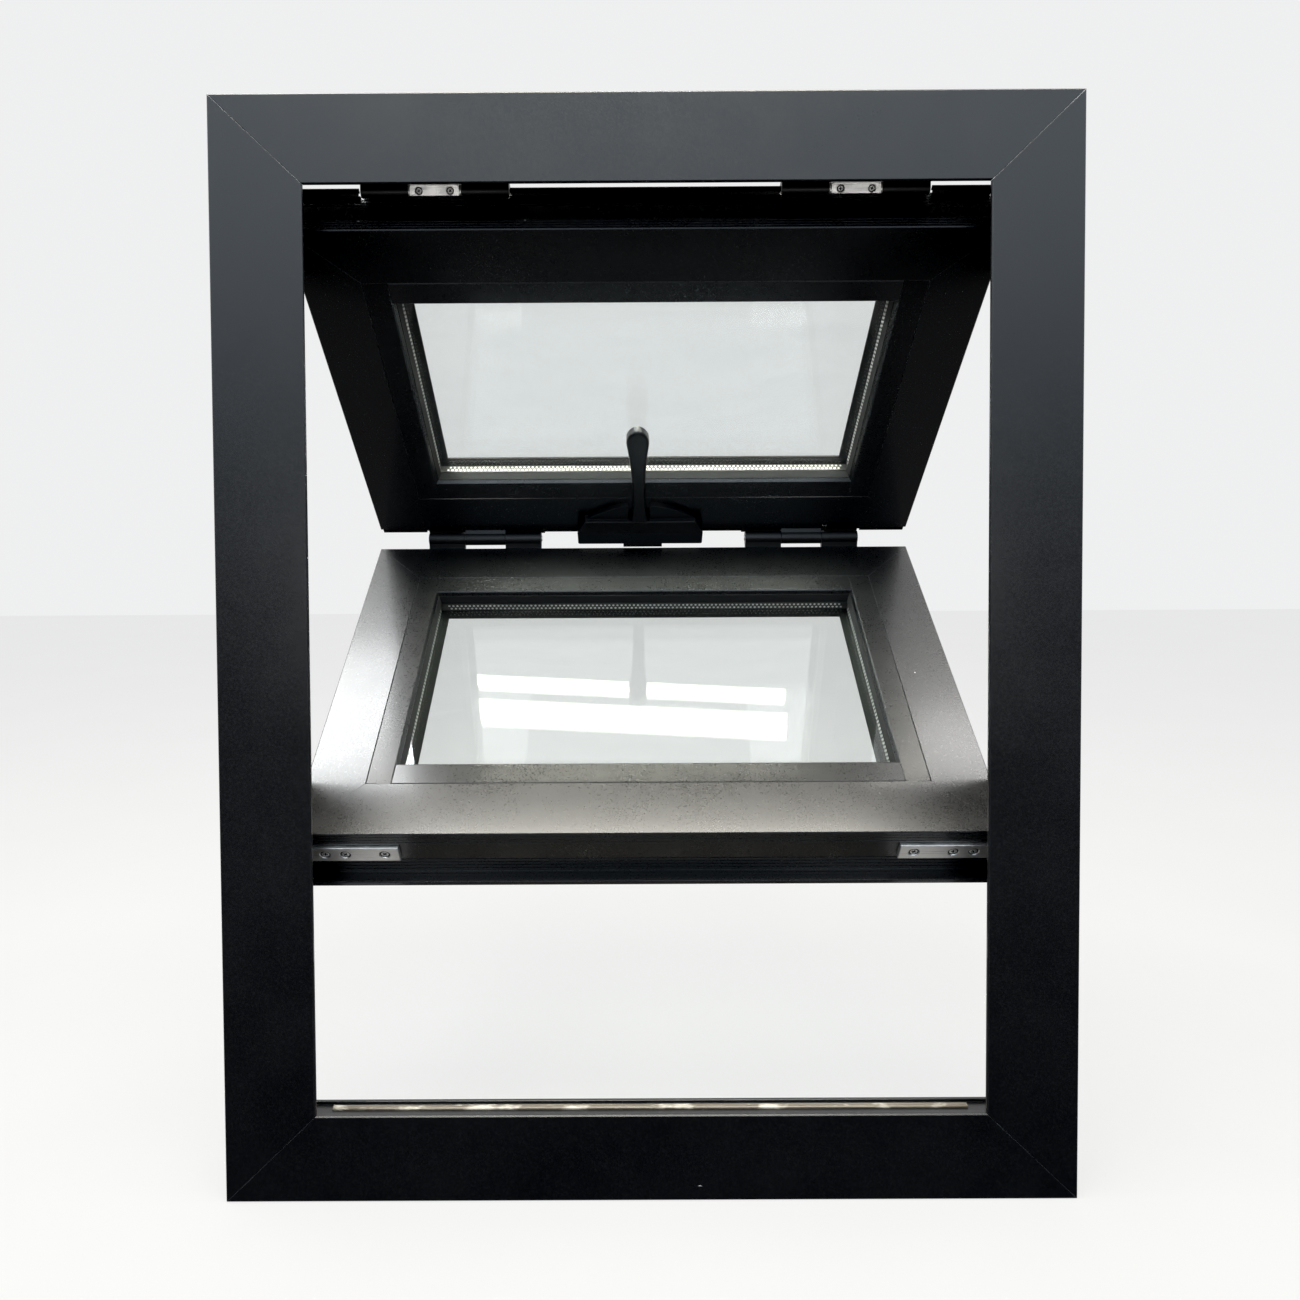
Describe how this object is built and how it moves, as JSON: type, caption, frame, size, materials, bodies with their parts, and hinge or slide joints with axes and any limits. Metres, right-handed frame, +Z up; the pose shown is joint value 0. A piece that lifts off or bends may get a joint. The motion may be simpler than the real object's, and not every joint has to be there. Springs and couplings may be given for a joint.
{
  "type": "folding window",
  "caption": "Fold-up aluminium window: top-hung upper sash hinged to a lower sash guided in the jambs, both double glazed, shown part-way raised in a mitred frame.",
  "frame": {"origin": "on the underside of the sill, at mid width and mid depth of the frame", "axes": "+X to the right seen from the room, +Y from the room to the outside, +Z up"},
  "size_m": [0.7, 0.3749, 0.9],
  "materials": {
    "frame_coat": "satin charcoal powder coat on aluminium",
    "sash_coat": "satin charcoal powder coat on aluminium",
    "bead_coat": "satin charcoal powder coat on aluminium",
    "hinge_coat": "satin black coat",
    "handle_coat": "satin black coat",
    "bright_steel": "brushed stainless steel",
    "glass": "clear float glass",
    "spacer": "perforated mill-finish spacer bar",
    "gasket": "black rubber",
    "sill_seal": "smooth black rubber",
    "roller": "black nylon"
  },
  "bodies": {
    "root": {"fold_hinge_left_lower_leaf": "hinge_coat", "fold_hinge_left_upper_leaf": "hinge_coat", "fold_hinge_pins": "bright_steel", "fold_hinge_right_lower_leaf": "hinge_coat", "fold_hinge_right_upper_leaf": "hinge_coat", "frame_gasket": "gasket", "frame_head": "frame_coat", "frame_left_jamb": "frame_coat", "frame_right_jamb": "frame_coat", "frame_sill": "frame_coat", "guide_rollers": "roller", "handle_base": "handle_coat", "handle_lever": "handle_coat", "head_hinge_left_frame_leaf": "hinge_coat", "head_hinge_left_sash_leaf": "bright_steel", "head_hinge_pins": "bright_steel", "head_hinge_right_frame_leaf": "hinge_coat", "head_hinge_right_sash_leaf": "bright_steel", "left_guide_plate": "bright_steel", "lower_bottom_bead": "bead_coat", "lower_bottom_rail": "sash_coat", "lower_glazing_gaskets": "gasket", "lower_inner_pane": "glass", "lower_left_bead": "bead_coat", "lower_left_stile": "sash_coat", "lower_outer_pane": "glass", "lower_right_bead": "bead_coat", "lower_right_stile": "sash_coat", "lower_spacer": "spacer", "lower_top_bead": "bead_coat", "lower_top_rail": "sash_coat", "right_guide_plate": "bright_steel", "sill_seal": "sill_seal", "upper_bottom_bead": "bead_coat", "upper_bottom_rail": "sash_coat", "upper_glazing_gaskets": "gasket", "upper_inner_pane": "glass", "upper_left_bead": "bead_coat", "upper_left_stile": "sash_coat", "upper_outer_pane": "glass", "upper_right_bead": "bead_coat", "upper_right_stile": "sash_coat", "upper_spacer": "spacer", "upper_top_bead": "bead_coat", "upper_top_rail": "sash_coat", "upper_weather_seals": "gasket"}
  },
  "joints": []
}
